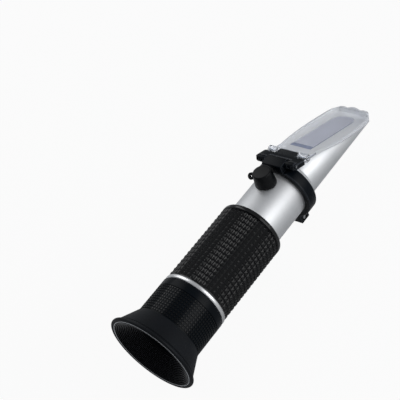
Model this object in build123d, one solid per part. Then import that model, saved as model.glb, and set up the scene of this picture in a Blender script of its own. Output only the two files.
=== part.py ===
from build123d import *
import math
import os

os.makedirs("parts", exist_ok=True)

# A hand-held wine refractometer lying on its side: eyepiece at one end, a 20 degree prism face
# under a hinged daylight plate at the other. Millimetres.
# Everything is drawn about the optical axis: y runs from the rim of the eyecup to the prism tip,
# z points to the hinge side. The last step moves the set so that it stands on z = 0.

# Fits
bond_gap = 0.02  # glued or pressed pieces of one body
running_gap = 0.05  # radial play of a shaft in its hole
slide_gap = 0.1  # play each side of a sliding block
free_gap = 0.3  # pieces that pass without touching

# Main tube, silver, with a polished bevelled mouth
tube_r = 13.5
tube_wall = 1.5
tube_length = 82.2
mouth_bevel_length = 2.4
mouth_bevel_depth = 0.8

# Nose that carries the prism, cut by the slanting prism face
nose_inset = 1.27  # how much slimmer the nose is than the tube
nose_collar = 2.0  # full round behind the prism face
nose_length = 53.7  # along the axis, from the start of the face to the tip
nose_edge_break = 0.25
spigot_length = 9.8
spigot_wall = 3.2
light_hole_r = 4.6
light_hole_length = 6.0
face_angle = 19.9  # slope of the prism face to the axis, degrees
joint_ring_width = 0.8
joint_ring_inset = 0.18
joint_ring_thickness = 1.2

# Prism window, a slot with round ends in the slanting face
window_near_s = 12.4  # measured down the slope from the start of the face
window_far_s = 53.4
window_width = 10.8
prism_depth = 13.0
nose_floor = 3.63  # metal left under the prism
seat_thickness = 0.8
sealant_width = 0.85
sealant_depth = 0.6
sealant_set_back = 0.12

# Blue filter in front of the prism, held by a ring
filter_set_back = 1.4  # from the start of the face
filter_thickness = 1.5
filter_stop = 1.3  # bore left in front of the filter
filter_ring_length = 1.6
filter_ring_wall = 1.3

# Clamp ring with the hinge knuckle on top and the screw lug below
ring_set_back = 0.25  # from the foot of the tube's bevel
ring_width = 6.0
ring_thickness = 2.9
ring_edge_break = 0.35
shoulder_height = 1.1  # flats beside the knuckle, under the ears of the holder
knuckle_half_width = 5.75
knuckle_reach = 2.1  # from the hinge pin to the front and the top of the knuckle
knuckle_corner_r = 0.8
knuckle_fall = 0.45  # of its top towards the eyecup
lug_half_width = 6.6
lug_drop = 6.9  # from the tube down to the flat of the lug
lug_slit = 1.2
lug_edge_break = 0.4
clamp_screw_rise = 2.1  # over the flat of the lug
clamp_screw_r = 1.0
clamp_head_r = 1.75
clamp_head_height = 1.3
clamp_head_slot = 0.5
clamp_nut_flats = 3.6
clamp_nut_height = 1.6
clamp_tip_length = 0.4

# Cover hinge: two pins across the tube, placed down the slope of the prism face and off it
hinge_pin_s = -8.35
hinge_rise = 2.03
plate_pin_s = 1.2
plate_pin_rise = 2.3
pin_r = 0.6
pin_end_inset = 0.3
holder_thickness = 2.6
holder_half_width = 12.2
holder_block_half_width = 6.2
holder_block_front = 1.85  # of the block, in front of the plate pin
holder_bar_clear = 1.05  # from the round of the knuckle to the cross bar
holder_bar_width = 3.6
ear_clear = 0.4  # from the knuckle's side to an ear
ear_corner_r = 1.3
ear_round = 1.9  # round of an ear about the hinge pin
ear_slot_width = 0.9  # the hinge pin shows in two slots at the back of each ear
ear_slot_height = 1.5
ear_slot_pitch = 2.4
holder_edge_break = 0.3
holder_pocket_depth = 0.5
holder_pocket_wall = 0.9

# Daylight plate
plate_gap = 0.15  # film of air between the plate's pad and the prism face
pad_height = 0.85  # pad under the plate that covers the prism
pad_margin = 0.35  # of the pad round the panel
plate_thickness = 1.4
plate_back_gap = 0.85  # from the holder's block to the plate
plate_root_length = 5.1
plate_root_half_width = 10.6
plate_mid_s = 33.0
plate_mid_half_width = 13.3
plate_shoulder_s = 53.5
plate_shoulder_half_width = 11.8
plate_end_s = 57.8
plate_end_half_width = 8.6
plate_corner_r = 1.6
plate_rim_width = 1.1
plate_rim_step = 0.3
panel_near_s = 12.6  # frosted panel sunk in the top of the plate
panel_far_s = 52.4
panel_half_width = 6.3
panel_depth = 0.25
panel_corner_r = 0.8
lip_thickness = 1.4  # finger lip that stands up at the end of the plate
lip_height = 1.9  # over the plate, at its hollows
lip_middle_crown = 1.0
lip_middle_half_width = 4.1
lip_side_crown = 0.35
lobe_r = 2.1
lobe_half_width = 11.4
lobe_side_gap = 0.3  # from the holder's block to a lobe

# Rubber grip and silver trim ring
grip_wall = 2.96
grip_length = 46.3
grip_front_round = 1.7
grip_back_break = 0.4
trim_wall = 3.1
trim_width = 2.4
trim_edge_break = 0.5

# Fixed guide tube that the focusing ring turns on
guide_inset = 0.1  # how much slimmer it is than the main tube
guide_wall = 2.4
guide_spigot_length = 14.0
snap_set_back = 1.9
snap_thickness = 1.1
snap_wall = 1.35
snap_depth = 0.55
snap_gap_angle = 30.0

# Focusing ring and eyecup
focus_wall = 3.26
focus_length = 19.3
focus_neck_inset = 1.51
focus_neck_length = 3.0
focus_lead = 6.0  # travel of the ocular for one turn
focus_turn = 120.0  # degrees each way
groove_depth = 1.55
eyecup_length = 12.3
eyecup_flare = 6.0  # from the focusing ring out to the rim
eyecup_bead_r = 0.95  # round bead that the rim ends in
eyecup_lip_width = 2.05
eyecup_lip_y = 0.35
eyecup_cone_step = 1.5  # from the rim in to the end of the cone
eyecup_cone_y = 2.8
eyecup_nick_depth = 0.15  # of the groove between cone and bead
eyecup_nick_y = 2.4
eyecup_skirt_step = 0.19
eyecup_floor = 1.28
eyecup_floor_width = 0.8
eyecup_opening_r = 9.8
eyecup_rib_count = 12
eyecup_rib_height = 0.4

# Ocular, which slides inside the guide tube
ocular_rest_gap = 3.4  # from the end of the guide tube
ocular_length = 14.5
ocular_wall = 1.35
ocular_lip = 1.0
ocular_lip_width = 1.2
eye_lens_edge = 2.2
eye_lens_bulge = 2.2
field_lens_edge = 1.6
field_lens_bulge = 1.5
lens_flat_rim = 1.0  # flat border of every lens, where it is held
lens_ring_length = 1.2
guide_pin_place = 7.2  # along the ocular cell
guide_pin_r = 1.0
guide_pin_root = 0.3  # wall left between the pin and the lenses

# Reticle and field stop in the main tube
reticle_gap = 0.6  # from the guide tube
reticle_cell_length = 5.6
reticle_cell_wall = 1.6
reticle_ring_length = 2.6
reticle_thickness = 1.5
reticle_lip_width = 1.8
field_stop_gap = 3.0
field_stop_thickness = 1.0
field_stop_bore_r = 6.5

# Objective, hung from a bimetal strip on the calibration block
objective_clearance = 1.6  # to the bore of the main tube
objective_length = 6.0
objective_bore_r = 6.6
objective_flat = 0.8  # cut off the top of the cell
objective_lens_edge = 1.6
objective_lens_bulge = 1.2
strip_length = 38.5
strip_thickness = 0.6
strip_half_width = 2.5
strip_screw_r = 0.6
strip_head_r = 1.0
strip_screw_depth = 2.0
strip_screw_inset = 3.0  # in from the back of the objective cell
block_screw_inset = 1.3  # in from the back of the block

# Calibration: a captive screw in a bush on top of the tube lifts the block by its thread
calibration_set_back = 6.85  # from the clamp ring
calibration_travel = 0.5  # each way, for one turn of the screw
bush_wall = 1.45
bush_height = 3.3  # over the tube
bush_recess_depth = 1.8
screw_shank_r = 1.2
screw_head_r = 2.4
screw_head_height = 1.5
screw_slot_width = 0.6
screw_slot_depth = 0.7
block_half_width = 3.5
block_length = 8.0
block_height = 3.4
saddle_length = 11.0

# Rubber cap over the calibration screw, with its pull loop
cap_base_wall = 1.6
cap_top_wall = 0.7
cap_roof = 3.4
cap_roof_gap = 0.8
cap_round = 0.8
loop_reach = 9.2  # from the screw's axis to the middle of the loop
loop_forward = 0.9
loop_rise = 0.7  # over the tube
loop_r = 1.8
loop_hole_r = 0.65
loop_thickness = 1.4
loop_lean = 37.0
loop_stem_width = 1.9

# Radii worked out from the sizes above
tube_bore_r = tube_r - tube_wall
nose_r = tube_r - nose_inset
joint_ring_r = nose_r - joint_ring_inset
joint_neck_r = joint_ring_r - joint_ring_thickness
spigot_bore_r = tube_bore_r - spigot_wall
ring_r = tube_r + ring_thickness
grip_r = tube_r + grip_wall
trim_r = tube_r + trim_wall
guide_r = tube_r - guide_inset
guide_bore_r = guide_r - guide_wall
snap_groove_r = guide_r - snap_depth
snap_r = snap_groove_r + snap_wall
focus_bore_r = guide_r + running_gap
focus_r = focus_bore_r + focus_wall
focus_neck_r = focus_r - focus_neck_inset
focus_recess_r = snap_r + free_gap
groove_floor_r = focus_bore_r + groove_depth
eyecup_rim_r = focus_r + eyecup_flare
eyecup_mouth_r = eyecup_rim_r - eyecup_lip_width
eyecup_floor_r = eyecup_opening_r + eyecup_floor_width
ocular_bore_r = guide_bore_r - running_gap - ocular_wall
ocular_glass_r = ocular_bore_r - bond_gap
reticle_r = tube_bore_r - reticle_cell_wall
objective_r = tube_bore_r - objective_clearance
bush_r = screw_head_r + running_gap + bush_wall

# Places along the axis, from the rim of the eyecup
focus_back_y = eyecup_length
focus_neck_y = focus_back_y - focus_neck_length
focus_front_y = focus_back_y + focus_length
eyecup_neck_y = focus_neck_y - bond_gap
eyecup_floor_y = eyecup_neck_y - eyecup_floor
guide_back_y = focus_neck_y + free_gap
snap_back_y = guide_back_y + snap_set_back
ocular_back_y = guide_back_y + ocular_rest_gap
eye_lens_y = ocular_back_y + ocular_lip
lens_spacer_y = eye_lens_y + eye_lens_edge
lens_ring_y = ocular_back_y + ocular_length - lens_ring_length
field_lens_y = lens_ring_y - field_lens_edge
guide_pin_y = ocular_back_y + guide_pin_place
tube_back_y = focus_front_y + 2 * slide_gap
trim_front_y = tube_back_y + trim_width
grip_front_y = trim_front_y + grip_length
guide_spigot_end_y = tube_back_y + guide_spigot_length
reticle_back_y = guide_spigot_end_y + reticle_gap
reticle_y = reticle_back_y + reticle_ring_length
field_stop_y = reticle_back_y + reticle_cell_length + field_stop_gap
tube_mouth_y = tube_back_y + tube_length
ring_front_y = tube_mouth_y - mouth_bevel_length - ring_set_back
ring_back_y = ring_front_y - ring_width
ring_mid_y = ring_back_y + ring_width / 2
calibration_y = ring_back_y - calibration_set_back
strip_front_y = calibration_y + block_length / 2
objective_y = strip_front_y - strip_length
spigot_back_y = tube_mouth_y - spigot_length
nose_back_y = tube_mouth_y + joint_ring_width
face_start_y = nose_back_y + nose_collar
nose_tip_y = face_start_y + nose_length
filter_back_y = face_start_y + filter_set_back
spigot_bore_end_y = filter_back_y + filter_thickness + filter_stop

# Heights over the axis
shoulder_z = tube_r + shoulder_height
lug_z = -tube_r - lug_drop
clamp_screw_z = lug_z + clamp_screw_rise
prism_floor_z = nose_floor - nose_r
strip_bottom_z = objective_r - objective_flat
strip_top_z = strip_bottom_z + strip_thickness
block_bottom_z = strip_bottom_z - block_height
saddle_bore_r = block_bottom_z - calibration_travel - slide_gap
screw_tip_z = block_bottom_z - 2 * slide_gap
bush_bottom_z = strip_top_z + calibration_travel + 2 * slide_gap
bush_top_z = tube_r + bush_height
cap_cavity_z = bush_top_z + cap_roof_gap
cap_top_z = cap_cavity_z + cap_roof

# The cover, measured down the slope of the prism face
knuckle_side = knuckle_half_width + ear_clear
holder_bar_back_s = hinge_pin_s + knuckle_reach + holder_bar_clear
holder_bar_end_s = holder_bar_back_s + holder_bar_width
holder_block_end_s = plate_pin_s + holder_block_front
plate_back_s = holder_block_end_s + plate_back_gap
plate_waist_s = plate_back_s + plate_root_length
plate_low = plate_gap + pad_height
plate_top = plate_low + plate_thickness
lip_top = plate_top + lip_height + lip_middle_crown
lobe_inner_x = holder_block_half_width + lobe_side_gap

cos_face = math.cos(math.radians(face_angle))
sin_face = math.sin(math.radians(face_angle))
overall_length = face_start_y + plate_end_s * cos_face + lip_top * sin_face
focus_travel = focus_lead * focus_turn / 360.0
to_base = Pos(0, -overall_length / 2, eyecup_rim_r)

# The prism face: local x is across, local y runs down the slope, local z stands off the face
face_plane = Plane(
    origin=(0, face_start_y, nose_r), x_dir=(1, 0, 0), z_dir=(0, sin_face, cos_face)
)
# The same frame seen from the side: local x down the slope, local y off the face, z across
side_plane = Plane(
    origin=(0, face_start_y, nose_r), x_dir=(0, cos_face, -sin_face), z_dir=(1, 0, 0)
)


def face_point(s, rise):
    """The y and z of a point s down the slope and rise above the prism face."""
    y = face_start_y + s * cos_face + rise * sin_face
    z = nose_r - s * sin_face + rise * cos_face
    return y, z


hinge_pin_y, hinge_pin_z = face_point(hinge_pin_s, hinge_rise)
plate_pin_y, plate_pin_z = face_point(plate_pin_s, plate_pin_rise)
off_face = Axis((0, 0, 0), (0, sin_face, cos_face))


def turned(*points):
    """A solid of revolution about the optical axis from a closed outline of (radius, y)."""
    return revolve(make_face(Polyline(*points, close=True)), axis=Axis.Y)


def ring(y_back, y_front, r_out, r_in):
    """A plain ring about the optical axis."""
    return turned((r_in, y_back), (r_out, y_back), (r_out, y_front), (r_in, y_front))


def rod(y_back, y_front, radius):
    """A round bar on the optical axis."""
    return turned((0, y_back), (radius, y_back), (radius, y_front), (0, y_front))


def cross_rod(x_low, x_high, y, z, radius):
    """A round bar across the tube, along x."""
    length = x_high - x_low
    return Pos((x_low + x_high) / 2, y, z) * Rot(0, 90, 0) * Cylinder(radius, length)


def upright_rod(x, y, z_low, z_high, radius):
    """A round bar along z."""
    return Pos(x, y, (z_low + z_high) / 2) * Cylinder(radius, z_high - z_low)


def block(x_low, x_high, y_low, y_high, z_low, z_high):
    """A box given by its sides."""
    centre = Pos((x_low + x_high) / 2, (y_low + y_high) / 2, (z_low + z_high) / 2)
    return centre * Box(x_high - x_low, y_high - y_low, z_high - z_low)


def slab(outline, rise_low, rise_high):
    """An outline drawn on the prism face, as a slab between two heights over the face."""
    return extrude(face_plane.offset(rise_low) * outline, rise_high - rise_low)


def across(outline, x_low, x_high):
    """A side outline (down the slope, off the face), extruded across the tube."""
    return extrude(Pos(x_low, 0, 0) * (side_plane * outline), x_high - x_low)


def rectangle(x_low, x_high, y_low, y_high):
    """A rectangle given by its sides."""
    centre = Pos((x_low + x_high) / 2, (y_low + y_high) / 2)
    return centre * Rectangle(x_high - x_low, y_high - y_low)


def window(margin):
    """The prism window's slot on the face, grown by a margin all round."""
    length = window_far_s - window_near_s + 2 * margin
    middle = (window_near_s + window_far_s) / 2
    return Pos(0, middle) * Rot(0, 0, 90) * SlotOverall(length, window_width + 2 * margin)


def lens(y_flat, edge, bulge, radius, way):
    """A lens with one flat side at y_flat and its dome towards way (+1 or -1) along y."""
    y_edge = y_flat + way * edge
    y_top = y_edge + way * bulge
    dome_r = radius - lens_flat_rim
    sphere_r = (dome_r**2 + bulge**2) / (2 * bulge)
    half_r = dome_r / 2
    y_middle = y_top - way * (sphere_r - math.sqrt(sphere_r**2 - half_r**2))
    outline = Polyline(
        (0, y_top), (0, y_flat), (radius, y_flat), (radius, y_edge), (dome_r, y_edge)
    )
    dome = ThreePointArc((dome_r, y_edge), (half_r, y_middle), (0, y_top))
    return revolve(make_face([outline, dome]), axis=Axis.Y)


# Tube and nose
def make_main_tube():
    """The silver tube, open at both ends, with the hole for the calibration bush."""
    mouth_r = tube_r - mouth_bevel_depth
    tube = turned(
        (tube_bore_r, tube_back_y),
        (tube_r, tube_back_y),
        (tube_r, tube_mouth_y - mouth_bevel_length),
        (mouth_r, tube_mouth_y),
        (tube_bore_r, tube_mouth_y),
    )
    return tube - upright_rod(0, calibration_y, 0, bush_top_z, bush_r + bond_gap)


def make_prism_barrel():
    """The nose: a bar cut by the slanting face, bored for light and milled for the prism."""
    body = turned(
        (0, spigot_back_y),
        (tube_bore_r - bond_gap, spigot_back_y),
        (tube_bore_r - bond_gap, tube_mouth_y),
        (joint_neck_r, tube_mouth_y),
        (joint_neck_r, nose_back_y),
        (nose_r, nose_back_y),
        (nose_r, nose_tip_y - nose_edge_break),
        (nose_r - nose_edge_break, nose_tip_y),
        (0, nose_tip_y),
    )
    waste = Rectangle(4 * nose_r, 3 * nose_length)
    body -= slab(waste, 0, 4 * nose_r)
    body -= rod(spigot_back_y, spigot_bore_end_y, spigot_bore_r)
    body -= rod(spigot_bore_end_y, spigot_bore_end_y + light_hole_length, light_hole_r)
    pocket = slab(window(bond_gap), -prism_depth - seat_thickness, 0)
    pocket -= block(-nose_r, nose_r, 0, nose_tip_y, -2 * nose_r, prism_floor_z - seat_thickness)
    step = slab(window(sealant_width), -sealant_depth, 0)
    return body - pocket - step


def make_main_prism():
    """The measuring prism, flush with the slanting face."""
    prism = slab(window(0), -prism_depth, 0)
    return prism - block(-nose_r, nose_r, 0, nose_tip_y, -2 * nose_r, prism_floor_z)


def make_prism_seat():
    """The blue backing under the prism's flat bottom."""
    slug = slab(window(0), -prism_depth, 0)
    layer = block(-nose_r, nose_r, 0, nose_tip_y, prism_floor_z - seat_thickness, prism_floor_z)
    return slug & layer


def make_prism_sealant():
    """The bead of sealant round the prism, sunk a little below the face."""
    bead = slab(window(sealant_width - bond_gap), -sealant_depth, -sealant_set_back)
    return bead - slab(window(bond_gap), -2 * sealant_depth, sealant_depth)


def make_joint_ring():
    """The dark ring in the groove between the tube's mouth and the nose."""
    return ring(tube_mouth_y, nose_back_y, joint_ring_r, joint_neck_r + bond_gap)


def make_blue_filter():
    """The blue glass disc in the nose."""
    return rod(filter_back_y, filter_back_y + filter_thickness, spigot_bore_r - bond_gap)


def make_filter_ring():
    """The ring behind the blue glass."""
    back_y = filter_back_y - filter_ring_length
    outer_r = spigot_bore_r - bond_gap
    return ring(back_y, filter_back_y, outer_r, outer_r - filter_ring_wall)


# Clamp ring and hinge
def make_clamp_ring():
    """The split clamp ring, with the hinge knuckle above and the screw lug below."""
    edge = ring_edge_break
    bore_r = tube_r + bond_gap
    hoop = turned(
        (bore_r, ring_back_y),
        (ring_r - edge, ring_back_y),
        (ring_r, ring_back_y + edge),
        (ring_r, ring_front_y - edge),
        (ring_r - edge, ring_front_y),
        (bore_r, ring_front_y),
    )
    for side in (-1, 1):
        near_x, far_x = sorted((side * knuckle_half_width, side * ring_r))
        hoop -= block(near_x, far_x, 0, nose_tip_y, shoulder_z, 2 * ring_r)
    lug = block(-lug_half_width, lug_half_width, ring_back_y, ring_front_y, lug_z, -tube_r)
    lug = chamfer(lug.edges().group_by(Axis.Z)[0], lug_edge_break)
    front_y = hinge_pin_y + knuckle_reach
    top_z = hinge_pin_z + knuckle_reach
    root_z = math.sqrt(bore_r**2 - knuckle_half_width**2)
    outline = Polyline(
        (front_y, top_z), (ring_back_y, top_z - knuckle_fall), (ring_back_y, root_z),
        (front_y, root_z), close=True,
    )
    section = Plane(origin=(0, 0, 0), x_dir=(0, 1, 0), z_dir=(1, 0, 0)) * make_face(outline)
    knuckle = extrude(Pos(-knuckle_half_width, 0, 0) * section, 2 * knuckle_half_width)
    knuckle = fillet(knuckle.edges().filter_by(Axis.X).sort_by(Axis.Z)[-2:], knuckle_corner_r)
    body = hoop + lug + knuckle
    body -= rod(0, nose_tip_y, bore_r)
    body -= block(-lug_slit / 2, lug_slit / 2, 0, nose_tip_y, 2 * lug_z, 0)
    reach = 2 * lug_half_width
    body -= cross_rod(-reach, reach, hinge_pin_y, hinge_pin_z, pin_r + bond_gap)
    body -= cross_rod(-reach, reach, ring_mid_y, clamp_screw_z, clamp_screw_r + running_gap)
    head_x = -lug_half_width + clamp_head_height
    body -= cross_rod(-reach, head_x, ring_mid_y, clamp_screw_z, clamp_head_r + running_gap)
    nut_x = lug_half_width - clamp_nut_height - clamp_tip_length
    return body - nut_prism(nut_x, reach, clamp_nut_flats + 2 * running_gap)


def nut_prism(x_low, x_high, flats):
    """A hexagonal bar on the clamp screw's axis."""
    hexagon = RegularPolygon(flats / 2, 6, major_radius=False)
    place = Plane(origin=(x_low, ring_mid_y, clamp_screw_z), x_dir=(0, 1, 0), z_dir=(1, 0, 0))
    return extrude(place * hexagon, x_high - x_low)


def make_clamp_screw():
    """The slotted screw that closes the lug."""
    back_x = -lug_half_width
    head = cross_rod(back_x, back_x + clamp_head_height, ring_mid_y, clamp_screw_z, clamp_head_r)
    shank = cross_rod(
        back_x + clamp_head_height, lug_half_width - clamp_tip_length,
        ring_mid_y, clamp_screw_z, clamp_screw_r,
    )
    half_slot = clamp_head_slot / 2
    slot = block(
        2 * back_x, back_x + clamp_head_height / 2, 0, nose_tip_y,
        clamp_screw_z - half_slot, clamp_screw_z + half_slot,
    )
    return head + shank - slot


def make_clamp_nut():
    """The hexagonal nut sunk in the lug."""
    back_x = lug_half_width - clamp_nut_height - clamp_tip_length
    nut = nut_prism(back_x, back_x + clamp_nut_height, clamp_nut_flats)
    hole_r = clamp_screw_r + bond_gap
    return nut - cross_rod(0, 2 * lug_half_width, ring_mid_y, clamp_screw_z, hole_r)


def make_hinge_pin():
    """The pin through the knuckle, on which the holder's ears turn."""
    half_length = holder_half_width - pin_end_inset
    return cross_rod(-half_length, half_length, hinge_pin_y, hinge_pin_z, pin_r)


def make_cover_holder():
    """The black link: two ears beside the knuckle, a cross bar and the block for the plate."""
    half_thick = holder_thickness / 2
    low = hinge_rise - half_thick
    high = hinge_rise + half_thick
    ear_back_s = hinge_pin_s - half_thick
    half = holder_half_width
    block_half = holder_block_half_width
    wings = rectangle(-half, half, ear_back_s, holder_bar_end_s)
    wings = fillet(wings.vertices(), ear_corner_r)
    notch = rectangle(-knuckle_side, knuckle_side, 2 * ear_back_s, holder_bar_back_s)
    tongue = rectangle(-block_half, block_half, holder_bar_back_s, holder_block_end_s)
    body = slab(wings - notch + tongue, low, high)
    body = chamfer(body.faces().sort_by(off_face)[-1].edges(), holder_edge_break)
    side = rectangle(hinge_pin_s, holder_block_end_s, low, high)
    side += Pos(hinge_pin_s, hinge_rise) * Circle(half_thick)
    body &= across(side, -half, half)
    ear_middle_x = (knuckle_side + half) / 2
    for near_x in (-half + ear_corner_r, knuckle_side):
        barrel = Pos(hinge_pin_s, hinge_rise) * Circle(ear_round)
        body += across(barrel, near_x, near_x + half - ear_corner_r - knuckle_side)
    for x in (-ear_middle_x, ear_middle_x):
        for slot_x in (x - ear_slot_pitch / 2, x + ear_slot_pitch / 2):
            slot = rectangle(
                slot_x - ear_slot_width / 2, slot_x + ear_slot_width / 2,
                2 * hinge_pin_s, hinge_pin_s,
            )
            middle = hinge_rise
            body -= slab(slot, middle - ear_slot_height / 2, middle + ear_slot_height / 2)
    wall = holder_pocket_wall
    pocket = rectangle(
        wall - block_half, block_half - wall, holder_bar_back_s + wall, holder_block_end_s - wall
    )
    body -= slab(pocket, low - half_thick, low + holder_pocket_depth)
    body -= cross_rod(-half, half, hinge_pin_y, hinge_pin_z, pin_r + running_gap)
    return body - cross_rod(-half, half, plate_pin_y, plate_pin_z, pin_r + bond_gap)


def make_plate_pin():
    """The pin through the holder's block, on which the plate's lobes turn."""
    half_length = lobe_half_width - pin_end_inset
    return cross_rod(-half_length, half_length, plate_pin_y, plate_pin_z, pin_r)


def mirrored(half):
    """A face made whole about the middle line."""
    return half + mirror(half, Plane.YZ)


def plate_outline():
    """The daylight plate seen from above: straight root, bowed sides, cut corners."""
    waist = (plate_root_half_width, plate_waist_s)
    middle = (plate_mid_half_width, plate_mid_s)
    shoulder = (plate_shoulder_half_width, plate_shoulder_s)
    end = (plate_end_half_width, plate_end_s)
    edge = [
        Polyline(
            end, (0, plate_end_s), (0, plate_back_s), (plate_root_half_width, plate_back_s), waist
        ),
        ThreePointArc(waist, middle, shoulder),
        Line(shoulder, end),
    ]
    outline = mirrored(make_face(edge))
    cut = [v for v in outline.vertices() if v.Y > plate_shoulder_s - slide_gap and abs(v.X) > slide_gap]
    return fillet(cut, plate_corner_r)


def panel_outline(margin):
    """The panel over the prism, straight at its near end and round at its far end."""
    half = panel_half_width + margin
    far = panel_far_s + margin
    near = panel_near_s - margin
    outline = rectangle(-half, half, near, far - half)
    outline = fillet(outline.vertices().group_by(Axis.Y)[0], panel_corner_r)
    return outline + Pos(0, far - half) * Circle(half)


def make_finger_lip():
    """The lip across the end of the plate, with a wavy top."""
    hollow = plate_top + lip_height
    half = plate_end_half_width
    middle = lip_middle_half_width
    side_crown = hollow + lip_side_crown
    edge = [
        Line((half, hollow), (half, plate_low)),
        Line((half, plate_low), (0, plate_low)),
        Line((0, plate_low), (0, lip_top)),
        ThreePointArc((half, hollow), ((half + middle) / 2, side_crown), (middle, hollow)),
    ]
    edge.append(Spline((middle, hollow), (0, lip_top), tangents=[(-1, 0.25), (-1, 0)]))
    y, z = face_point(plate_end_s - lip_thickness, 0)
    place = Plane(origin=(0, y, z), x_dir=(-1, 0, 0), z_dir=(0, cos_face, -sin_face))
    return extrude(place * mirrored(make_face(edge)), lip_thickness)


def make_daylight_plate():
    """The clear plate with rim, panel, pad and lip, and two lobes that turn on the plate pin."""
    outline = plate_outline()
    body = slab(outline, plate_low, plate_top)
    field = offset(outline, amount=-plate_rim_width)
    field_top = plate_top - plate_rim_step
    body -= slab(field, field_top, 2 * plate_top)
    body += slab(panel_outline(pad_margin), plate_gap, plate_low)
    body -= slab(panel_outline(0), field_top - panel_depth, plate_top)
    body += make_finger_lip()
    for side in (-1, 1):
        near_x, far_x = sorted((side * lobe_inner_x, side * lobe_half_width))
        root_x = sorted((side * lobe_inner_x, side * plate_root_half_width))
        body += slab(rectangle(*root_x, plate_pin_s, plate_back_s), plate_low, plate_top)
        body += across(Pos(plate_pin_s, plate_pin_rise) * Circle(lobe_r), near_x, far_x)
    reach = 2 * lobe_half_width
    return body - cross_rod(-reach, reach, plate_pin_y, plate_pin_z, pin_r + running_gap)


# Grip and trim
def make_rubber_grip():
    """The rubber sleeve over the tube, rounded at its front end."""
    bore_r = tube_r + bond_gap
    edge = grip_back_break
    sleeve = turned(
        (bore_r, trim_front_y),
        (grip_r - edge, trim_front_y),
        (grip_r, trim_front_y + edge),
        (grip_r, grip_front_y),
        (bore_r, grip_front_y),
    )
    front_edges = sleeve.edges().group_by(Axis.Y)[-1]
    return fillet(front_edges.sort_by(SortBy.RADIUS)[-1], grip_front_round)


def make_trim_ring():
    """The silver ring between grip and focusing ring."""
    edge = trim_edge_break
    return turned(
        (tube_r + bond_gap, tube_back_y),
        (trim_r - edge, tube_back_y),
        (trim_r, tube_back_y + edge),
        (trim_r, trim_front_y - edge),
        (trim_r - edge, trim_front_y),
        (tube_r + bond_gap, trim_front_y),
    )


# Eyepiece
def make_guide_tube():
    """The fixed tube that the focusing ring turns on, with the ocular's straight slot."""
    tube = turned(
        (guide_bore_r, guide_back_y),
        (guide_r, guide_back_y),
        (guide_r, tube_back_y),
        (tube_bore_r - bond_gap, tube_back_y),
        (tube_bore_r - bond_gap, guide_spigot_end_y),
        (guide_bore_r, guide_spigot_end_y),
    )
    tube -= ring(snap_back_y, snap_back_y + snap_thickness, 2 * guide_r, snap_groove_r)
    reach = focus_travel + guide_pin_r + slide_gap
    half = guide_pin_r + running_gap
    return tube - block(-half, half, guide_pin_y - reach, guide_pin_y + reach, 0, 2 * guide_r)


def make_snap_ring():
    """The open spring ring that keeps the focusing ring on the guide tube."""
    front_y = snap_back_y + snap_thickness - bond_gap
    whole = ring(snap_back_y + bond_gap, front_y, snap_r, snap_groove_r + bond_gap)
    half_gap = snap_r * math.sin(math.radians(snap_gap_angle / 2))
    return whole - block(-half_gap, half_gap, 0, tube_back_y, -2 * snap_r, 0)


def make_focus_ring():
    """The focusing ring, with the helical groove that drives the ocular's pin."""
    shoulder_y = snap_back_y + snap_thickness + slide_gap
    body = turned(
        (focus_recess_r, focus_neck_y),
        (focus_neck_r, focus_neck_y),
        (focus_neck_r, focus_back_y),
        (focus_r, focus_back_y),
        (focus_r, focus_front_y),
        (focus_bore_r, focus_front_y),
        (focus_bore_r, shoulder_y),
        (focus_recess_r, shoulder_y),
    )
    return body - focus_groove()


def focus_groove():
    """The cutter of the helical groove, as wide as the guide pin with its play."""
    middle_r = focus_bore_r + (groove_depth - running_gap) / 2
    end_turn = math.degrees((guide_pin_r + slide_gap) / middle_r)
    turn = 2 * (focus_turn + end_turn)
    rise = focus_lead * turn / 360.0
    path = Helix(pitch=focus_lead, height=rise, radius=middle_r, lefthand=True)
    width = 2 * (guide_pin_r + slide_gap)
    section = Plane(origin=path @ 0, x_dir=(1, 0, 0), z_dir=path % 0) * Rectangle(
        groove_depth + running_gap, width
    )
    cutter = sweep(section, path=path, is_frenet=True)
    # The groove reaches as far to either side of the pin, which stands on top
    return Pos(0, guide_pin_y - rise / 2, 0) * Rot(-90, 0, 0) * Rot(0, 0, turn / 2 - 90) * cutter


def make_eyecup():
    """The flared rubber eyecup, with concentric ribs down its funnel."""
    skirt = (focus_r + eyecup_skirt_step, focus_back_y)
    cone_end = (eyecup_rim_r - eyecup_cone_step, eyecup_cone_y)
    nick = (cone_end[0] - eyecup_nick_depth, eyecup_nick_y)
    bead_middle_r = eyecup_rim_r - eyecup_bead_r
    bead_back = (bead_middle_r, 2 * eyecup_bead_r)
    mouth = (eyecup_mouth_r, eyecup_lip_y)
    flare = Polyline(skirt, cone_end, nick, bead_back)
    bead = ThreePointArc(bead_back, (eyecup_rim_r, eyecup_bead_r), (bead_middle_r, 0))
    depth = eyecup_floor_y - mouth[1]
    step_r = (eyecup_mouth_r - eyecup_floor_r) / eyecup_rib_count
    step_y = depth / eyecup_rib_count
    funnel = [(bead_middle_r, 0), mouth]
    for rib in range(eyecup_rib_count):
        foot_r = eyecup_mouth_r - (rib + 1) * step_r
        foot_y = mouth[1] + (rib + 1) * step_y
        funnel.append((foot_r + step_r / 2, foot_y - step_y / 2 - eyecup_rib_height))
        funnel.append((foot_r, foot_y))
    neck_r = focus_neck_r + bond_gap
    inside = [
        (eyecup_opening_r, eyecup_floor_y),
        (eyecup_opening_r, eyecup_neck_y),
        (neck_r, eyecup_neck_y),
        (neck_r, focus_back_y),
        skirt,
    ]
    section = make_face([flare, bead, Polyline(*funnel, *inside)])
    return revolve(section, axis=Axis.Y)


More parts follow.
